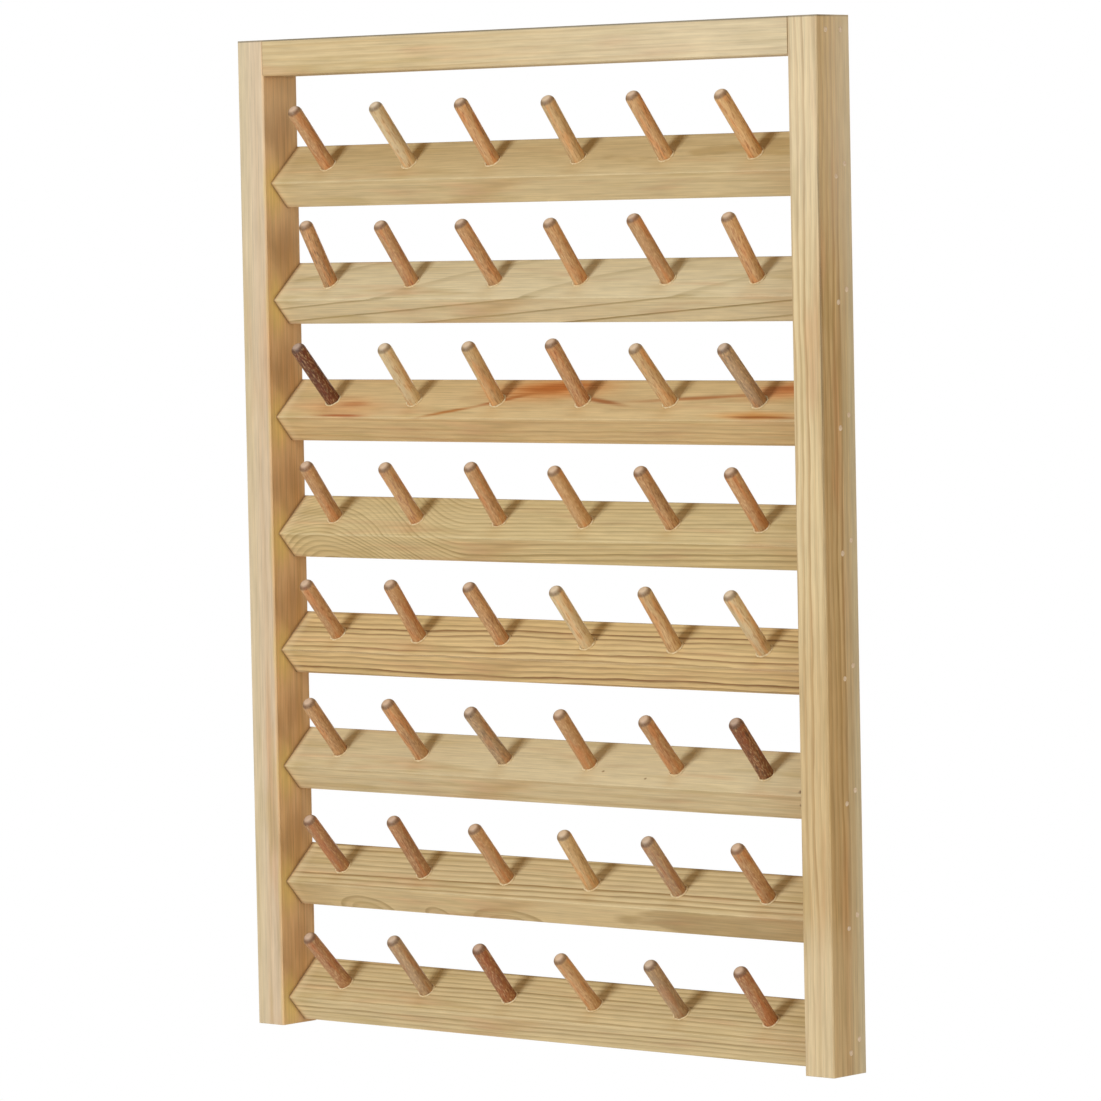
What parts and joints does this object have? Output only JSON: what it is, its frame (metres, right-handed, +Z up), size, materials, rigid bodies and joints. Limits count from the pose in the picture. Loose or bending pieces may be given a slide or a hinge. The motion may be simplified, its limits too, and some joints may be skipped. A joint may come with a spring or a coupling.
{
  "type": "thread rack",
  "caption": "Wall-hung pine frame with slanted cross rails, each carrying a row of round dowel pegs that point up and forward to hold thread spools.",
  "frame": {"origin": "middle of the top rail's back face, on the wall plane", "axes": "+X along the rails towards the right stile as seen from the front, +Y from the front of the rack to the wall, +Z up"},
  "size_m": [0.3, 0.0331, 0.3999],
  "materials": {
    "frame_pine": "planed and sanded, bare",
    "rail_pine": "planed and sanded, bare",
    "dowel": "turned, bare",
    "brad_steel": "drawn wire"
  },
  "bodies": {
    "root": {"left_stile": "frame_pine", "right_stile": "frame_pine", "top_rail": "frame_pine", "peg_rail_1": "rail_pine", "peg_rail_2": "rail_pine", "peg_rail_3": "rail_pine", "peg_rail_4": "rail_pine", "peg_rail_5": "rail_pine", "peg_rail_6": "rail_pine", "peg_rail_7": "rail_pine", "peg_rail_8": "rail_pine", "peg_1_1": "dowel", "peg_1_2": "dowel", "peg_1_3": "dowel", "peg_1_4": "dowel", "peg_1_5": "dowel", "peg_1_6": "dowel", "peg_2_1": "dowel", "peg_2_2": "dowel", "peg_2_3": "dowel", "peg_2_4": "dowel", "peg_2_5": "dowel", "peg_2_6": "dowel", "peg_3_1": "dowel", "peg_3_2": "dowel", "peg_3_3": "dowel", "peg_3_4": "dowel", "peg_3_5": "dowel", "peg_3_6": "dowel", "peg_4_1": "dowel", "peg_4_2": "dowel", "peg_4_3": "dowel", "peg_4_4": "dowel", "peg_4_5": "dowel", "peg_4_6": "dowel", "peg_5_1": "dowel", "peg_5_2": "dowel", "peg_5_3": "dowel", "peg_5_4": "dowel", "peg_5_5": "dowel", "peg_5_6": "dowel", "peg_6_1": "dowel", "peg_6_2": "dowel", "peg_6_3": "dowel", "peg_6_4": "dowel", "peg_6_5": "dowel", "peg_6_6": "dowel", "peg_7_1": "dowel", "peg_7_2": "dowel", "peg_7_3": "dowel", "peg_7_4": "dowel", "peg_7_5": "dowel", "peg_7_6": "dowel", "peg_8_1": "dowel", "peg_8_2": "dowel", "peg_8_3": "dowel", "peg_8_4": "dowel", "peg_8_5": "dowel", "peg_8_6": "dowel", "brads": "brad_steel"}
  },
  "joints": []
}
